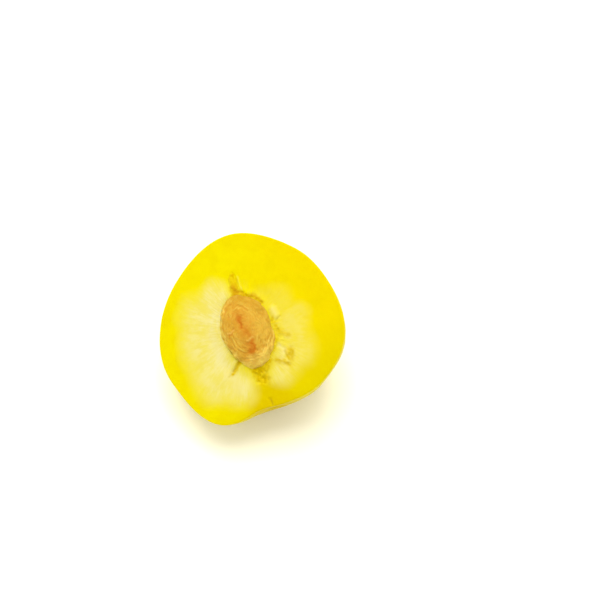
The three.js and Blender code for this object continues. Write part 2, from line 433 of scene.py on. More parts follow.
GOLDEN = [
    # strokes, strength
    (STRAND, 1.0),
    (along(SLIT_GOLD, 0.4, 0.6), 1.0),
    (along([(-0.6, -9.8), (0.6, -12.6)], 1.6, 1.8), 1.0),
    (along([(2.6, -8.6), (0.8, -11.4)], 0.8, 1.4), 1.0),
    (along(GOLDEN_FILM, 0.35, 1.0), 0.85),
    (along([(6.2, -1.6), (8.4, -3.2)], 0.5, 1.4), 0.85),
    (along([(8.2, -7.0), (8.2, -8.6)], 0.9, 1.6), 0.85),
    (along([(4.5, -8.6), (7.6, -10.4)], 0.5, 1.4), 0.8),
]
# Painted highlights: on the strand's ridge, the slit's lip, the flap and the torn flesh below the stone.
PAINTED_HIGHLIGHTS = [
    # strokes, strength
    (along(STRAND_RIDGE, 0.1, 0.5), 0.3),
    (along(SLIT_LIP, 0.2, 0.8), 1.0),
    (along(FLAP, 0.7, 1.8), 0.8),
    (along([(5.8, -5.4), (6.9, -6.8), (6.0, -8.4)], 0.6, 1.2), 0.8),
    ([(-0.1, -10.6, 0.2, -11.0, 0.15, 0.5), (1.2, -10.6, 1.4, -11.4, 0.1, 0.5)], 0.7),
]
TORN_CAP = [
    # strokes, strength
    (along([(-3.3, 10.9), (-2.6, 9.9), (-3.2, 9.0)], 0.8, 1.2), 1.0),
    (along([(-2.0, 9.6), (0.1, 8.3), (1.9, 7.8), (3.2, 6.0)], 0.45, 1.1), 0.9),
]
NOTCH_MARK = [(1.4, -17.8), (1.9, -19.3)]
TORN = (
    along([(-0.6, -9.8), (0.6, -12.8)], 1.6, 1.8)
    + along([(5.4, 1.4), (6.4, -4.6)], 0.6, 1.6)
    + along([(-3.2, 10.6), (-2.2, 9.6), (0.2, 8.4), (3.2, 6.2)], 0.5, 1.2)
)
CURLED = along([(6.0, -5.4), (7.9, -7.6), (7.0, -10.0)], 1.6, 3.0)
FACE_MARKS = [
    # strokes, height in mm
    (along(SLIT[:3], 0.25, 0.8), -0.3),
    (along(SLIT, 0.05, 0.6), -0.15),
    (along(SLIT_LIP, 0.2, 1.0), 0.1),
    (along(KNIFE_MARK, 0.05, 0.4), -0.12),
    (STRAND, 0.28),
    (along(STRAND_RIGHT, 0.05, 0.5), -0.18),
    (along(STRAND_LEFT, 0.05, 0.5), -0.12),
    (along(STRAND_RIDGE, 0.1, 0.6), 0.22),
    (along([(-0.6, -9.8), (0.6, -12.6)], 1.0, 2.2), -0.35),
    (along(NOTCH_MARK, 0.2, 0.9), -0.4),
    (along(FLAP, 0.8, 1.4), 0.4),
    (along(FLAP_SHADE, 0.1, 0.7), -0.2),
    (along(CREVICE, 0.2, 0.8), -0.2),
    (along(GOLDEN_FILM, 0.3, 1.2), 0.15),
]
THREAD_LIFT = 0.14
print(len(THREADS_AND_PAINTED_SHADE), "layers of threads,", len(FACE_MARKS), "marks")


FACE_ENDS_AT = 1.1
FACE_FADE = 0.7


def on_face(z):
    """1 on the cut face, and nothing down the socket's wall or under the skin."""
    return ease((z + FACE_ENDS_AT) / FACE_FADE)


def face_relief(p):
    """The marks, crumbs and swelling of the cut face at a place in mm."""
    held = on_face(p.z)
    if held == 0:
        return 0.0
    height = LOBE_SWELL * layered(p.x, p.y, LOBES)
    for strokes, depth in FACE_MARKS:
        height += depth * brushed(p.x, p.y, strokes)
    for line in CURLS + TORN_THREADS:
        height += THREAD_LIFT * brushed(*wandering(p, 0.5, 1.2), along(line, 0.12, 0.6))
    torn = brushed(p.x, p.y, TORN)
    if torn > 0:
        height += 0.3 * torn * noise.noise(p * 1.1) + 0.08 * torn * noise.noise(p * 2.6)
    curled = brushed(p.x, p.y, CURLED)
    if curled > 0:
        height += 0.25 * curled * noise.noise(p * 0.9)
    return held * height


displace(half, face_relief)

# %% [markdown]
# ## Fibres and unevenness
#
# The flesh of a plum is made of threads that run from the stone out to the skin. On a fresh cut
# they show as fine rays, deepest at the stone. Noise that is sampled by bearing and distance
# instead of by x and y gives rays, because it changes fast around the stone and slowly outwards.
# The skin gets low dents, and a hollow with a corky stem scar just under the notch, where the
# knife passed beside it. A tiny scar at the tip is what the flower left.


# %% Radial fibres, a waver of the face, and the skin's unevenness
def fibre_relief(p):
    """Rays round the stone, strongest beside it, on a slightly wavering face."""
    held = on_face(p.z)
    if held == 0:
        return 0.0
    away, bearing = off_stone(p.x, p.y)
    waver = 0.12 * noise.noise(p * 0.22) + 0.03 * noise.noise(p * 0.8)
    round_stone = Vector((math.cos(bearing) * 15, math.sin(bearing) * 15, away * 0.5))
    rays = noise.noise(round_stone) + 0.6 * noise.noise(round_stone * 2.3)
    near = 1 - ease(away / 6)
    return held * (waver + (0.003 + 0.034 * near) * rays * ease((away + 0.3) / 0.8))


STEM_SCAR = (1.6, -4.2)
TIP_SCAR = (0.6, -2.8)
FRUIT_END = 10
FAR_OFF = 99


def from_scars(p):
    """A skin place's distance in mm from the stem scar, and from the small scar at the tip."""
    stem = math.hypot(p.x - STEM_SCAR[0], p.z - STEM_SCAR[1]) if p.y < -FRUIT_END else FAR_OFF
    tip = math.hypot(p.x - TIP_SCAR[0], p.z - TIP_SCAR[1]) if p.y > FRUIT_END else FAR_OFF
    return stem, tip


def skin_relief(p):
    """Low dents and swellings of a ripe fruit's skin, and the hollow round the stem scar."""
    under = 1 - on_face(p.z + 0.9)
    outside = ease((math.hypot(p.x, p.y, p.z) - 12) / 3)
    stem, tip = from_scars(p)
    height = 0.22 * noise.noise(p * 0.11) + 0.05 * noise.noise(p * 0.4) + 0.015 * noise.noise(p * 1.4)
    height -= 0.8 * (1 - ease(stem / 3.2)) + 0.2 * (1 - ease(tip / 1.4))
    height += 0.3 * (1 - ease(stem / 1.2)) * (1 + noise.noise(p * 1.6))
    return under * outside * height


displace(half, fibre_relief)
displace(half, skin_relief, direction="NORMAL")

# %% [markdown]
# ## Paint where the colours go
#
# Part of it is painted light: painted shade in cracks, at the stem end and lower right, and painted
# highlights on raised lips.
# The pale lobes, the golden torn places, the dark threads and the whitish flesh next to the stone
# have soft edges. They are kept as attributes, one number for each vertex, that the
# materials read. An attribute stays with the surface, so nothing slides when the half is laid down.


# %% Paint pale, bright, golden and torn flesh
def paint(piece, attribute, amount_of):
    """Stores amount_of(place in mm) as a vertex attribute that a material can read."""
    layer = piece.data.attributes.new(attribute, "FLOAT", "POINT")
    layer.data.foreach_set("value", [amount_of(v.co / MM) for v in piece.data.vertices])


BRIGHT = [
    # strokes, strength
    (along([(-6.4, 9.0), (-9.4, 5.4), (-10.4, 0.6), (-9.6, -4)], 0.6, 4.4), 0.9),
    (along([(-7.4, 6.6), (-8.6, 1.0), (-8.2, -3.4)], 0.2, 1.8), 1.0),
    (along([(-9.6, -4), (-8.0, -11), (-5.0, -14.2)], 0.8, 5.0), 0.8),
]


def ripeness(p):
    """The sunny side of the fruit, from 0 at the left to 1 at the right."""
    return ease((0.8 * p.x + 0.1 * p.y + 4 + 3 * noise.noise(p * 0.12)) / 20)


def stem_end_and_shade(p):
    """The deeper yellow round the stem end, with painted shade where it curves into the notch, from 1 at
    the notch to 0.
    """
    return 1 - ease((math.hypot(p.x - 1.5, p.y + 20) - 1.5 - 2 * noise.noise(p * 0.3)) / 8)


def scarred(p):
    """The corky spots where the stem was and where the flower was."""
    if p.z > -0.6:
        return 0.0
    stem, tip = from_scars(p)
    return max(1 - ease((stem - 0.9 + 0.5 * noise.noise(p)) / 0.5), 1 - ease((tip - 0.35) / 0.4))


def on_flesh(layers, by, fineness):
    """What paints layers on the cut face only, with edges that wander by noise."""

    def amount(p):
        held = on_face(p.z)
        return held and held * layered(*wandering(p, by, fineness), layers)

    return amount


paint(half, "pale", on_flesh(LOBES, 1.0, 0.2))
paint(half, "bright", on_flesh(BRIGHT, 1.0, 0.3))
paint(half, "golden", on_flesh(GOLDEN, 0.35, 1.2))
# The light layer holds painted highlights on raised lips, the flap and the torn flesh.
paint(half, "light", on_flesh(PAINTED_HIGHLIGHTS, 0.3, 1.0))
paint(half, "cap", on_flesh(TORN_CAP, 0.5, 1.4))
# Dark torn threads, and painted shade in the slit, under the flap and in the crevice above the stone.
paint(half, "threads_and_painted_shade", on_flesh(THREADS_AND_PAINTED_SHADE, 0.3, 1.2))
paint(half, "notch", on_flesh([(along(NOTCH_MARK, 0.1, 0.6), 1.0)], 0.3, 1.2))
paint(half, "ripe", ripeness)
# Deeper yellow round the stem end, with painted shade towards the notch.
paint(half, "stem end and shade", stem_end_and_shade)
# Painted shade: the lower right of the face is darkened, as if turned from the light.
paint(half, "painted shade", lambda p: ease((0.5 * p.x - 0.85 * p.y - 8) / 14))
paint(half, "scar", scarred)
print("painted", [a.name for a in half.data.attributes if not a.name.startswith(".")])

# %% [markdown]
# ## The stone
#
# A plum stone is a flattened oval with a rough shell. An ico sphere is the better start here: its
# faces are all of one size, while a UV sphere bunches them into a star at its pole, and that pole
# would lie in the middle of what shows. It is scaled to the stone's three axes in edit mode, and
# soft drags then give it a shoulder at the upper right and a point at the bottom.

# %% Shape the stone
STONE_FINENESS = 7
bpy.ops.mesh.primitive_ico_sphere_add(subdivisions=STONE_FINENESS, radius=STONE_MEAN)
stone = bpy.context.object
stone.name = stone.data.name = "plum_stone_fine"
bpy.ops.object.mode_set(mode="EDIT")
bpy.ops.mesh.select_all(action="SELECT")
flat = STONE_THICKNESS / 2 / STONE_MEAN
bpy.ops.transform.resize(value=(*STONE_STRETCH, flat), center_override=(0, 0, 0))
STONE_DRAGS = [
    # bearing in the stone's own frame, distance outwards in mm, reach in mm
    (36, 0.75, 4.6),
    (-105, 0.55, 3.2),
    (-40, 0.4, 4.2),
    (82, 0.35, 3.0),
]
for bearing, distance, reach in STONE_DRAGS:
    angle = math.radians(bearing)
    outwards = Vector((math.cos(angle), math.sin(angle), 0))
    across = math.hypot(2 * outwards.x / STONE_WIDTH, 2 * outwards.y / STONE_LENGTH)
    drag(stone, outwards / across, reach * MM, outwards * distance * MM)
bpy.ops.object.mode_set(mode="OBJECT")
bpy.ops.object.shade_smooth()
print("stone:", [round(x / MM, 1) for x in stone.dimensions], "mm,", len(stone.data.polygons), "faces")

# %% [markdown]
# ## The shell's relief
#
# Fine ridges run round with the stone's outline, two shallow pits lie on its long axis, and
# shreds of flesh cling to the lower edge. A second displacement, along the normals, makes the
# sides uneven. Everything is given in the stone's own frame, with its long axis along Y.

# %% Ridges, lumps, pits and clinging film
FILM_LINES = [
    [(6.1, -2.2), (5.3, -4.8), (3.9, -7.2), (2.2, -8.3)],
    [(4.5, -4.7), (3.4, -6.7), (1.1, -7.9), (-0.4, -8.0)],
    [(3.6, -4.9), (2.8, -6.5), (1.0, -7.2)],
    [(-4.7, -5.7), (-3.9, -7.3), (-3.0, -8.5)],
    [(-1.4, -7.5), (-2.5, -8.1), (-1.1, -8.9), (0.6, -8.8)],
]
FLECKS = along([(-4.0, 0.5), (-2.7, 0.6)], 0.15, 0.5) + along([(-0.3, -2.9), (1.4, -2.8)], 0.1, 0.5)
FILM_STROKES = [stroke for line in FILM_LINES for stroke in along(line, 0.15, 0.6)]
PITS = [
    # strokes, strength
    (along([(0.2, 3.6), (-0.4, 2.2), (-0.4, 0.6)], 0.3, 2.2), 1.0),
    (along([(0.2, -3.8), (0.3, -5.2)], 0.5, 2.2), 1.0),
    (along([(-2.8, 1.2), (-4.1, -0.3)], 0.1, 1.2), 0.6),
]
RED = [
    # strokes, strength
    (along([(0.2, 3.4), (-0.4, 2.3), (-0.3, 0.9)], 0.75, 1.7), 1.0),
    (along([(0.1, 0.8), (0.3, -1.6), (1.2, -2.2)], 0.7, 2.4), 0.7),
    (along([(0.2, -3.8), (0.4, -4.9), (-0.2, -5.7)], 0.75, 1.7), 1.0),
    (along([(-2.6, 1.1), (-4.1, -0.3)], 0.1, 0.8), 0.8),
    (along([(2.5, -5.1), (1.8, -6.6)], 0.2, 1.4), 0.5),
    (along([(0.1, 3.3), (0.2, -0.7), (-0.2, -5.8)], 1.5, 4.0), 0.45),
]


def ring_at(p):
    """0 at the middle of the stone's top and 1 at its edge."""
    return math.hypot(2 * p.x / (STONE_WIDTH / MM), 2 * p.y / (STONE_LENGTH / MM))


def ridges(p):
    """Ridges that run round with the outline, from -1 to 1, broken up by noise."""
    turns = 36 * ring_at(p) + 5.5 * noise.noise(p * 0.35) + 1.5 * noise.noise(p * 1.1)
    fine_turns = 92 * ring_at(p) + 9 * noise.noise(p * 0.6)
    shown = ease((ring_at(p) - 0.3) / 0.3) * ease(0.55 + 1.2 * noise.noise(p * 0.5 + Vector((3, 1, 7))))
    right_side = ease((p.x - 1.5) / 2) * (1 - ease((abs(p.y) - 3) / 2))
    coarse = shown * math.sin(turns) * (1 - 0.7 * right_side)
    return 0.8 * coarse + 0.4 * ease((ring_at(p) - 0.1) / 0.3) * math.sin(fine_turns)


def bare(p):
    """1 at the upper right of the stone, where no flesh clings to it."""
    return ease((p.x + 0.5 * p.y + 0.5) / 4)


def film(p):
    """The film of flesh on the stone along its lower edges and in shreds; its ring at the edge is partly
    painted light.
    """
    # Partly painted light: the edge ring is paled so that the sides turning from the lamp stay as bright
    # as the top.
    edge = ease((ring_at(p) - 0.84 + 0.2 * noise.noise(p * 0.8)) / 0.18)
    low = ease((-p.y - 5.6 + 1.6 * noise.noise(p * 0.6)) / 2.2)
    shreds = brushed(*wandering(p, 0.6, 0.9), FILM_STROKES)
    return max(edge * (1 - 0.8 * bare(p)), 0.75 * low, shreds)


def stone_relief(p):
    """The height of the stone's top at a place in mm."""
    up = ease(3 * p.z / (STONE_THICKNESS / MM))
    x, y = wandering(p, 0.6, 0.8)
    relief = 0.085 * ridges(p)
    relief += 0.22 * noise.noise(p * 0.4) + 0.14 * noise.noise(p * 0.95)
    relief += 0.12 * (0.5 - abs(noise.noise(p * 1.5))) + 0.06 * noise.noise(p * 3.1)
    relief += 0.12 * brushed(x, y, FLECKS) + 0.14 * brushed(x, y, FILM_STROKES)
    relief -= 0.22 * layered(x, y, PITS)
    return up * relief


def outline_relief(p):
    """Unevenness of the stone's sides, mostly outwards, so that no gap opens round it."""
    side = ease((p.z + 1.5) / 1.5) * ease((ring_at(p) - 0.6) / 0.3)
    return side * (0.1 + 0.28 * noise.noise(p * 0.55 + Vector((5, 0, 2))) + 0.12 * noise.noise(p * 1.4))


displace(stone, stone_relief)
displace(stone, outline_relief, direction="NORMAL")
paint(stone, "red", lambda p: layered(*wandering(p, 0.9, 0.8), RED))
# Film of flesh, with painted light along the stone's edge.
paint(stone, "film", film)
paint(stone, "fleck", lambda p: brushed(*wandering(p, 0.5, 0.8), FLECKS))
# The ridge profile, which the shell's material turns into painted shade and a painted highlight.
paint(stone, "ridge", lambda p: 0.5 + 0.5 * ridges(p))
paint(stone, "brown", lambda p: ease((ring_at(p) - 0.5) / 0.4) * ease((p.y + 0.7 * p.x - 3.5) / 4))
# Painted light: the seam next to the crevice is painted a lighter gold against the crevice's shade.
paint(stone, "seam", lambda p: ease((ring_at(p) - 0.93) / 0.05) * (1 - 0.8 * bare(p)))

# %% [markdown]
# ## Set the stone in its socket
#
# The stone is moved in edit mode, so that its object stays at the origin. It lies askew to the
# fruit's axis and a little sunk. With no window, transform.rotate turns the other way, so the
# angle is negative for a turn to the left.

# %% Turn and sink the stone
hold(stone)
bpy.ops.object.mode_set(mode="EDIT")
bpy.ops.mesh.select_all(action="SELECT")
bpy.ops.transform.rotate(value=-STONE_TURN, orient_axis="Z", center_override=(0, 0, 0))
bpy.ops.transform.translate(value=(STONE_PLACE.x, STONE_PLACE.y, -STONE_SINK))
bpy.ops.object.mode_set(mode="OBJECT")
print("stone top at", round(max(v.co.z for v in stone.data.vertices) / MM, 2), "mm over the face")

# %% [markdown]
# ## Lay the pieces down
#
# All pieces are now turned within the face, tipped to the front, and moved to where the measured
# half lies. The cheek is pressed flat where the fruit's weight rests on it. The turn is applied
# at once: a finished piece has its object at the origin and its place in its mesh.

# %% Tip, press and place
laid = Matrix.Rotation(REST_TILT, 4, "X") @ Matrix.Rotation(FACE_TURN, 4, "Z")
lowest = min((laid @ v.co).z for v in half.data.vertices)
rest_level = lowest + PRESSED
solid_low, solid_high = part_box("plum_half")
turned = [laid @ v.co for v in half.data.vertices]
middle_x = (max(c.x for c in turned) + min(c.x for c in turned)) / 2
middle_y = (max(c.y for c in turned) + min(c.y for c in turned)) / 2
face_centre = Vector((-middle_x, -middle_y, -rest_level))
face_centre += Vector(((solid_low.x + solid_high.x) / 2, (solid_low.y + solid_high.y) / 2, solid_low.z))
to_rest = Matrix.Translation(face_centre) @ laid


def lay_down(piece):
    """Moves a piece from the fruit's frame to where it lies, and applies the move."""
    hold(piece)
    piece.matrix_world = to_rest
    bpy.ops.object.transform_apply(location=True, rotation=True, scale=True)


for piece in (half, stone):
    lay_down(piece)
hold(half)
bpy.ops.object.mode_set(mode="EDIT")
mesh = bmesh.from_edit_mesh(half.data)
for v in mesh.verts:
    v.select_set(v.co.z < 0)
bmesh.update_edit_mesh(half.data)
bpy.ops.transform.resize(value=(1, 1, 0), center_override=(0, 0, 0))
bpy.ops.object.mode_set(mode="OBJECT")
print("face centre at", [round(x / MM, 2) for x in face_centre], "mm")

# %% [markdown]
# ## Node helpers
#
# A material is a small graph. These helpers keep each node on one line: its kind, its inputs by
# name, and its settings. An input that is itself an output socket becomes a link.


# %% Short forms for nodes
def node(tree, kind, inputs=None, **settings):
    """Adds a shader node, sets or links its inputs, and returns it."""
    added = tree.nodes.new("ShaderNode" + kind)
    for name, value in settings.items():
        setattr(added, name, value)
    for name, value in (inputs or {}).items():
        if isinstance(value, bpy.types.NodeSocket):
            tree.links.new(value, added.inputs[name])
        else:
            added.inputs[name].default_value = value
    return added


def blend(tree, factor, first, second, way="MIX"):
    """Mixes two colours."""
    mixed = node(tree, "Mix", {0: factor, 6: first, 7: second}, data_type="RGBA", blend_type=way)
    return mixed.outputs[2]


def sums(tree, operation, first, second, clamp=False):
    """One Math node."""
    made = node(tree, "Math", {0: first, 1: second}, operation=operation, use_clamp=clamp)
    return made.outputs[0]


def span(tree, value, low, high, to_low=0.0, to_high=1.0):
    """Maps a value from one span to another with soft ends."""
    inputs = {"Value": value, "From Min": low, "From Max": high, "To Min": to_low, "To Max": to_high}
    return node(tree, "MapRange", inputs, interpolation_type="SMOOTHSTEP").outputs[0]


def attribute(tree, name):
    """A painted attribute of the piece."""
    return node(tree, "Attribute", attribute_name=name).outputs["Fac"]


def colour(red, green, blue):
    """A colour with its alpha."""
    return (red, green, blue, 1)


def cleared(material):
    """Empties a material's graph and gives it one Principled shader."""
    material.use_nodes = True
    tree = material.node_tree
    tree.nodes.clear()
    shader = tree.nodes.new("ShaderNodeBsdfPrincipled")
    output = tree.nodes.new("ShaderNodeOutputMaterial")
    tree.links.new(shader.outputs[0], output.inputs[0])
    return tree, shader


# %% [markdown]
# ## One group for the fibres
#
# The flesh shows rays twice, coarse ones across the lobes and fine ones beside the stone. A node
# group finds a place's bearing and distance from the stone and turns them into rays of a chosen
# fineness. It reads Object coordinates and turns them back into the level frame with a Mapping node.

# %% The fibre group
from_rest = to_rest.inverted()
FIBRES = bpy.data.node_groups.new("rays round the stone", "ShaderNodeTree")
FIBRES.interface.new_socket("Fineness", in_out="INPUT", socket_type="NodeSocketFloat")
FIBRES.interface.new_socket("Rays", in_out="OUTPUT", socket_type="NodeSocketFloat")
FIBRES.interface.new_socket("Away", in_out="OUTPUT", socket_type="NodeSocketFloat")
group_in = FIBRES.nodes.new("NodeGroupInput")
group_out = FIBRES.nodes.new("NodeGroupOutput")
level = node(
    FIBRES,
    "Mapping",
    {
        "Vector": node(FIBRES, "TexCoord").outputs["Object"],
        "Location": from_rest.translation,
        "Rotation": from_rest.to_euler("XYZ"),
    },
)
squared = node(
    FIBRES,
    "Mapping",
    {
        "Vector": node(
            FIBRES,
            "Mapping",
            {
                "Vector": level.outputs[0],
                "Location": Matrix.Rotation(-STONE_TURN, 3, "Z") @ -STONE_PLACE,
                "Rotation": (0, 0, -STONE_TURN),
            },
        ).outputs[0],
        "Scale": (2 / STONE_WIDTH, 2 / STONE_LENGTH, 0),
    },
)
ring = node(FIBRES, "VectorMath", {0: squared.outputs[0]}, operation="LENGTH").outputs["Value"]
aim = node(FIBRES, "VectorMath", {0: squared.outputs[0]}, operation="NORMALIZE").outputs[0]
fine = node(FIBRES, "VectorMath", {0: aim, "Scale": group_in.outputs[0]}, operation="SCALE")
lift = node(FIBRES, "CombineXYZ", {"Z": sums(FIBRES, "MULTIPLY", ring, 2.4)}).outputs[0]
place = node(FIBRES, "VectorMath", {0: fine.outputs[0], 1: lift}, operation="ADD").outputs[0]
rays = node(FIBRES, "TexNoise", {"Vector": place, "Scale": 1.0, "Detail": 3.0, "Roughness": 0.6})
FIBRES.links.new(rays.outputs["Fac"], group_out.inputs["Rays"])
FIBRES.links.new(ring, group_out.inputs["Away"])
print("fibre group:", len(FIBRES.nodes), "nodes")


def fibres(tree, fineness):
    """The fibre group in a material."""
    placed = tree.nodes.new("ShaderNodeGroup")
    placed.node_tree = FIBRES
    placed.inputs["Fineness"].default_value = fineness
    return placed


# %% [markdown]
# ## The skin
#
# Ripe yellow plum skin is smooth, full yellow and slightly deeper where the flesh below is riper.
# A thin waxy bloom lies over it in clouds and takes its shine away, and brown specks of two sizes
# are scattered over it. The two scars are dark cork with paler grains.

# %% Skin material
skin_tree, skin_shader = cleared(bpy.data.materials["plum skin"])
own_place = node(skin_tree, "TexCoord").outputs["Object"]
broad = node(skin_tree, "TexNoise", {"Vector": own_place, "Scale": 70.0, "Detail": 3.0}).outputs["Fac"]
cloudy = node(skin_tree, "TexNoise", {"Vector": own_place, "Scale": 150.0, "Detail": 5.0}).outputs["Fac"]
small = node(skin_tree, "TexNoise", {"Vector": own_place, "Scale": 520.0, "Detail": 4.0}).outputs["Fac"]
base = blend(skin_tree, attribute(skin_tree, "ripe"), colour(0.60, 0.51, 0.0), colour(0.60, 0.46, 0.0))
base = blend(skin_tree, span(skin_tree, broad, 0.5, 0.75, 0.0, 0.6), base, colour(0.57, 0.40, 0.0))
base = blend(skin_tree, span(skin_tree, broad, 0.5, 0.3, 0.0, 0.5), base, colour(0.53, 0.49, 0.005))
bloom_clouds = span(skin_tree, cloudy, 0.45, 0.7)
bloom_grain = span(skin_tree, small, 0.3, 0.6, 0.5, 1.0)
bloom = sums(skin_tree, "MULTIPLY", bloom_clouds, bloom_grain)
base = blend(skin_tree, sums(skin_tree, "MULTIPLY", bloom, 0.35), base, colour(0.62, 0.55, 0.08))
base = blend(skin_tree, span(skin_tree, small, 0.5, 0.8, 0.0, 0.35), base, colour(0.52, 0.37, 0.0))
# Deeper yellow at the stem end, with painted shade where the skin curves into the notch.
base = blend(skin_tree, attribute(skin_tree, "stem end and shade"), base, colour(0.50, 0.37, 0.0))
rare = node(skin_tree, "TexNoise", {"Vector": own_place, "Scale": 130.0, "Detail": 1.0}).outputs["Fac"]
askew = {"Vector": own_place, "Scale": (1, 2.4, 0.8), "Rotation": (0.4, 0.7, 0.2)}
stretched = node(skin_tree, "Mapping", askew).outputs[0]
SPECKS = [
    # how many to a metre, size, and the noise from which they start and are all there
    (330.0, 0.12, 0.48, 0.62),
    (150.0, 0.07, 0.55, 0.66),
]
for spread, size, low, high in SPECKS:
    points = node(skin_tree, "TexVoronoi", {"Vector": stretched, "Scale": spread}).outputs["Distance"]
    dots = span(skin_tree, points, 0.4 * size, size, 1.0, 0.0)
    dots = sums(skin_tree, "MULTIPLY", dots, span(skin_tree, rare, low, high))
    base = blend(skin_tree, sums(skin_tree, "MULTIPLY", dots, 0.8), base, colour(0.27, 0.15, 0.02))
cork_grain = span(skin_tree, small, 0.4, 0.6)
cork = blend(skin_tree, cork_grain, colour(0.16, 0.085, 0.025), colour(0.36, 0.23, 0.09))
base = blend(skin_tree, attribute(skin_tree, "scar"), base, cork)
skin_tree.links.new(base, skin_shader.inputs["Base Color"])
skin_tree.links.new(span(skin_tree, small, 0.3, 0.75, 0.38, 0.5), skin_shader.inputs["Roughness"])
bumps = node(skin_tree, "Bump", {"Height": small, "Strength": 0.12, "Distance": 0.15 * MM})
skin_tree.links.new(bumps.outputs[0], skin_shader.inputs["Normal"])
skin_shader.inputs["Specular IOR Level"].default_value = 0.06
skin_shader.inputs["Specular Tint"].default_value = colour(1.0, 0.85, 0.0)
skin_shader.inputs["Subsurface Weight"].default_value = 0.15
skin_shader.inputs["Subsurface Radius"].default_value = (1.0, 0.6, 0.05)
skin_shader.inputs["Subsurface Scale"].default_value = 1.2 * MM

# %% [markdown]
# ## The cut flesh
#
# The flesh is wet, dense and a bit see-through, so light spreads inside it before it comes out:
# that is what Subsurface does. Under the skin it is a full yellow, in the lobes it is pale, and
# beside the stone almost white with fine rays. Where it was torn it is deeper and golden.

# %% Flesh material
flesh_tree, flesh_shader = cleared(bpy.data.materials["plum flesh"])
own_place = node(flesh_tree, "TexCoord").outputs["Object"]
ray = fibres(flesh_tree, 22.0)
fine_ray = fibres(flesh_tree, 44.0)
cloud = node(flesh_tree, "TexNoise", {"Vector": own_place, "Scale": 260.0, "Detail": 4.0}).outputs["Fac"]
crumb = node(flesh_tree, "TexNoise", {"Vector": own_place, "Scale": 900.0, "Detail": 3.0}).outputs["Fac"]
near_stone = span(flesh_tree, ray.outputs["Away"], 1.05, 1.6, 1.0, 0.0)
ray_reach = span(flesh_tree, ray.outputs["Away"], 1.1, 2.6, 1.0, 0.55)
ray_depth = sums(flesh_tree, "MULTIPLY", sums(flesh_tree, "SUBTRACT", ray.outputs["Rays"], 0.5), ray_reach)
rayed = span(flesh_tree, sums(flesh_tree, "ADD", ray_depth, cloud), 0.3, 0.7)
fine_rayed = span(flesh_tree, fine_ray.outputs["Rays"], 0.38, 0.62)
ripe = attribute(flesh_tree, "ripe")
band = blend(flesh_tree, ripe, colour(0.578, 0.49, 0.0), colour(0.578, 0.45, 0.0))
band = blend(flesh_tree, span(flesh_tree, cloud, 0.42, 0.7, 0.0, 0.45), band, colour(0.535, 0.425, 0.0))
# Painted shade darkens the yellow band towards the lower right.
band = blend(flesh_tree, attribute(flesh_tree, "painted shade"), band, colour(0.505, 0.405, 0.0))
# Deeper yellow at the stem end, with painted shade where the face curves to the notch.
band = blend(flesh_tree, attribute(flesh_tree, "stem end and shade"), band, colour(0.475, 0.35, 0.0))
left_pale = blend(flesh_tree, rayed, colour(0.56, 0.48, 0.085), colour(0.58, 0.515, 0.165))
right_pale = blend(flesh_tree, rayed, colour(0.57, 0.46, 0.02), colour(0.585, 0.485, 0.055))
pale_colour = blend(flesh_tree, ripe, left_pale, right_pale)
cloudy_edge = span(flesh_tree, cloud, 0.2, 0.5, 0.85, 1.0)
edge = sums(flesh_tree, "MULTIPLY", attribute(flesh_tree, "pale"), cloudy_edge)
base = blend(flesh_tree, edge, band, pale_colour)
bright_colour = blend(flesh_tree, rayed, colour(0.58, 0.51, 0.195), colour(0.60, 0.545, 0.27))
base = blend(flesh_tree, attribute(flesh_tree, "bright"), base, bright_colour)
dark_ray = sums(flesh_tree, "MULTIPLY", near_stone, span(flesh_tree, fine_rayed, 0.0, 0.6, 0.35, 0.0))
base = blend(flesh_tree, dark_ray, base, colour(0.50, 0.41, 0.05))
# Painted highlights from the light layer, broken up by clouds.
highlight_clouds = span(flesh_tree, cloud, 0.3, 0.6, 0.7, 1.0)
light = sums(flesh_tree, "MULTIPLY", attribute(flesh_tree, "light"), highlight_clouds)
base = blend(flesh_tree, light, base, colour(0.59, 0.51, 0.15))
golden_grain = span(flesh_tree, crumb, 0.4, 0.62)
golden_colour = blend(flesh_tree, golden_grain, colour(0.45, 0.30, 0.0), colour(0.545, 0.385, 0.004))
golden_crumbs = span(flesh_tree, crumb, 0.3, 0.6, 1.0, 0.75)
golden = sums(flesh_tree, "MULTIPLY", attribute(flesh_tree, "golden"), golden_crumbs)
base = blend(flesh_tree, golden, base, golden_colour)
base = blend(flesh_tree, attribute(flesh_tree, "cap"), base, colour(0.45, 0.245, 0.004))
# Dark torn threads, and painted shade in the slit, under the flap and in the crevice above the stone.
thread_crumbs = span(flesh_tree, crumb, 0.3, 0.6, 1.0, 0.6)
threads_and_painted_shade = sums(flesh_tree, "MULTIPLY", attribute(flesh_tree, "threads_and_painted_shade"), thread_crumbs)
base = blend(flesh_tree, threads_and_painted_shade, base, colour(0.44, 0.30, 0.0))
base = blend(flesh_tree, attribute(flesh_tree, "notch"), base, colour(0.33, 0.2, 0.01))
flesh_tree.links.new(base, flesh_shader.inputs["Base Color"])
flesh_tree.links.new(span(flesh_tree, crumb, 0.3, 0.7, 0.42, 0.55), flesh_shader.inputs["Roughness"])
rough_places = sums(flesh_tree, "MULTIPLY", crumb, attribute(flesh_tree, "golden"))
relief = sums(flesh_tree, "ADD", sums(flesh_tree, "MULTIPLY", fine_rayed, near_stone), rough_places)
relief = sums(flesh_tree, "ADD", relief, sums(flesh_tree, "MULTIPLY", cloud, 0.6))
bumps = node(flesh_tree, "Bump", {"Height": relief, "Strength": 0.25, "Distance": 0.12 * MM})
flesh_tree.links.new(bumps.outputs[0], flesh_shader.inputs["Normal"])
flesh_shader.inputs["Specular IOR Level"].default_value = 0.1
flesh_shader.inputs["Specular Tint"].default_value = colour(1.0, 0.9, 0.0)
flesh_shader.inputs["Subsurface Weight"].default_value = 0.35
flesh_shader.inputs["Subsurface Radius"].default_value = (1.0, 0.8, 0.25)
flesh_shader.inputs["Subsurface Scale"].default_value = 0.7 * MM
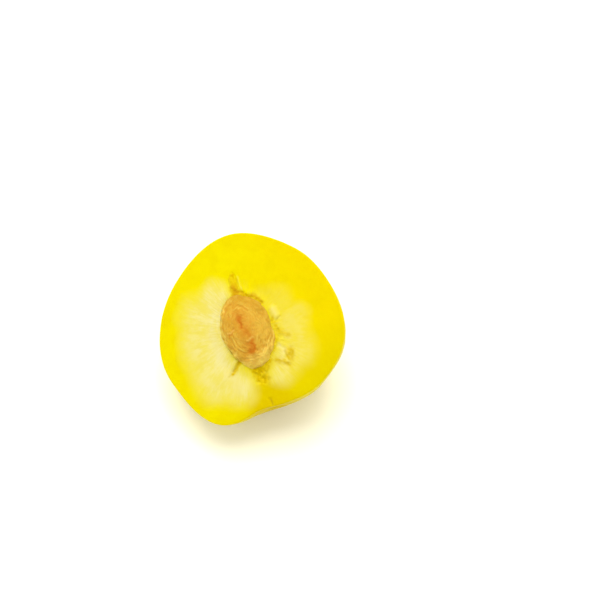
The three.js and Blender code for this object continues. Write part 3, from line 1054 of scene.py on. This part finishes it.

# %% [markdown]
# ## The stone's shell
#
# The shell is tan wood, brown at the top and rusty red along the middle. Its ridges are painted
# paler on top and darker in between, a painted highlight and painted shade. A thin film of flesh
# clings to its lower end and its edge; along the edge the paler colour is also painted light, so
# that the sides that turn from the lamp stay as bright as the top. Parts of the seam to the flesh
# are painted golden, as painted light in the crevice beside it, which takes much of the light.

# %% Stone material
stone_material = bpy.data.materials.new("plum stone shell")
stone.data.materials.append(stone_material)
stone_tree, stone_shader = cleared(stone_material)
own_place = node(stone_tree, "TexCoord").outputs["Object"]
crooked = {"Vector": own_place, "Scale": 620.0, "Detail": 5.0, "Distortion": 0.6}
grain = node(stone_tree, "TexNoise", crooked).outputs["Fac"]
patch = node(stone_tree, "TexNoise", {"Vector": own_place, "Scale": 190.0, "Detail": 3.0}).outputs["Fac"]
patches = span(stone_tree, patch, 0.35, 0.65)
tan = blend(stone_tree, patches, colour(0.485, 0.285, 0.028), colour(0.465, 0.23, 0.016))
tan = blend(stone_tree, span(stone_tree, grain, 0.4, 0.7, 0.0, 0.5), tan, colour(0.52, 0.32, 0.038))
ridge = attribute(stone_tree, "ridge")
# Painted shade between the ridges, and on the next line a painted highlight on their tops.
tan = blend(stone_tree, span(stone_tree, ridge, 0.1, 0.45, 0.6, 0.0), tan, colour(0.41, 0.175, 0.01))
tan = blend(stone_tree, span(stone_tree, ridge, 0.6, 0.95, 0.0, 0.65), tan, colour(0.55, 0.37, 0.055))
brown_patches = span(stone_tree, patch, 0.35, 0.6, 0.9, 0.5)
brown = sums(stone_tree, "MULTIPLY", attribute(stone_tree, "brown"), brown_patches)
tan = blend(stone_tree, brown, tan, colour(0.40, 0.20, 0.01))
base = blend(stone_tree, attribute(stone_tree, "red"), tan, colour(0.39, 0.11, 0.004))
# The film colour, which along the edge is also painted light against the shading of the turning sides.
film_parts = span(stone_tree, grain, 0.35, 0.6, 0.45, 0.95)
film_amount = sums(stone_tree, "MULTIPLY", attribute(stone_tree, "film"), film_parts)
base = blend(stone_tree, film_amount, base, colour(0.68, 0.50, 0.09))
fleck = sums(stone_tree, "MULTIPLY", attribute(stone_tree, "fleck"), 0.8)
base = blend(stone_tree, fleck, base, colour(0.60, 0.36, 0.07))
# Painted light: a lighter gold on the seam, against the shade of the crevice beside it.
seam_patches = span(stone_tree, patch, 0.42, 0.6, 0.0, 0.6)
seam = sums(stone_tree, "MULTIPLY", attribute(stone_tree, "seam"), seam_patches)
base = blend(stone_tree, seam, base, colour(0.60, 0.40, 0.03))
stone_tree.links.new(base, stone_shader.inputs["Base Color"])
stone_tree.links.new(span(stone_tree, grain, 0.3, 0.7, 0.4, 0.6), stone_shader.inputs["Roughness"])
bumps = node(stone_tree, "Bump", {"Height": grain, "Strength": 0.35, "Distance": 0.15 * MM})
stone_tree.links.new(bumps.outputs[0], stone_shader.inputs["Normal"])
stone_shader.inputs["Specular IOR Level"].default_value = 0.2
stone_shader.inputs["Specular Tint"].default_value = colour(1.0, 0.75, 0.25)
stone_shader.inputs["Subsurface Weight"].default_value = 0.15
stone_shader.inputs["Subsurface Radius"].default_value = (1.0, 0.5, 0.1)
stone_shader.inputs["Subsurface Scale"].default_value = 0.6 * MM

# %% [markdown]
# ## What moves, and what stands for what
#
# Nothing on the fruit moves, so every piece rides on the one body. The fine half and the fine
# stone replace their measured solids in the picture.

# %% Tell the frame about the pieces
for piece, solid, slot in ((half, "plum_half", "flesh_and_skin"), (stone, "plum_stone", "stone")):
    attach(piece, "root")
    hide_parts(solid)

# %% [markdown]
# ## Floor, light and camera
#
# The fruit lies on pale card under a white sky, with one large soft lamp nearly overhead, a little
# behind it and to the left. A pale floor throws much light back up, which is why the shadow is
# light and warm. Blender's Standard view keeps the lit floor white.

# %% Floor
FLOOR_SIZE = 3
bpy.ops.mesh.primitive_plane_add(size=FLOOR_SIZE)
floor = bpy.context.object
floor.name = "floor"
card = bpy.data.materials.new("white card")
floor.data.materials.append(card)
_, card_shader = cleared(card)
card_shader.inputs["Base Color"].default_value = colour(0.95, 0.92, 0.76)
card_shader.inputs["Roughness"].default_value = 0.9
card_shader.inputs["Specular IOR Level"].default_value = 0.1

# %% Light
SKY = 1.0
KEY_WATTS = 10.0
KEY_SIZE = 0.8
world = bpy.data.worlds.new("white sky")
bpy.context.scene.world = world
world.use_nodes = True
world.node_tree.nodes["Background"].inputs["Color"].default_value = colour(1, 1, 1)
world.node_tree.nodes["Background"].inputs["Strength"].default_value = SKY
bpy.context.scene.view_settings.view_transform = "Standard"

KEY_PLACE = Vector((-0.24, 0.22, 0.94))
bpy.ops.object.light_add(type="AREA", location=KEY_PLACE)
key = bpy.context.object
key.data.energy = KEY_WATTS
key.data.size = KEY_SIZE
key.rotation_euler = (face_centre - KEY_PLACE).to_track_quat("-Z", "Y").to_euler()

# %% [markdown]
# ## The camera
#
# The picture looks down on the cut face from the front right, 65 degrees up. The lens is slightly
# long, and the camera aims past the fruit so that the fruit lies low and left in the frame. Its
# three axes are worked out here instead of with a track constraint, because tracking keeps the
# camera's sides level and would roll the picture by five degrees when it aims past the fruit.

# %% Camera
CAMERA_HEIGHT = math.radians(65)
CAMERA_SIDE = math.radians(37.74)
CAMERA_DISTANCE = 270 * MM
LENS = 65.7
AIM_RIGHT = 11.55 * MM
AIM_UP = 7.05 * MM
sin_side, cos_side = math.sin(CAMERA_SIDE), math.cos(CAMERA_SIDE)
sin_up, cos_up = math.sin(CAMERA_HEIGHT), math.cos(CAMERA_HEIGHT)
towards = Vector((sin_side * cos_up, -cos_side * cos_up, sin_up))
right = Vector((cos_side, sin_side, 0))
up = Vector((-sin_side * sin_up, cos_side * sin_up, cos_up))
eye = face_centre + towards * CAMERA_DISTANCE
target = face_centre + right * AIM_RIGHT + up * AIM_UP
backwards = (eye - target).normalized()
level_right = (right - backwards * right.dot(backwards)).normalized()
axes = Matrix((level_right, backwards.cross(level_right), backwards)).transposed()
bpy.ops.object.camera_add(location=eye, rotation=axes.to_euler())
camera = bpy.context.object
camera.data.lens = LENS
camera.data.sensor_width = 36
camera.data.clip_start = 0.01
bpy.context.scene.camera = camera
print("camera at", [round(x, 3) for x in eye])
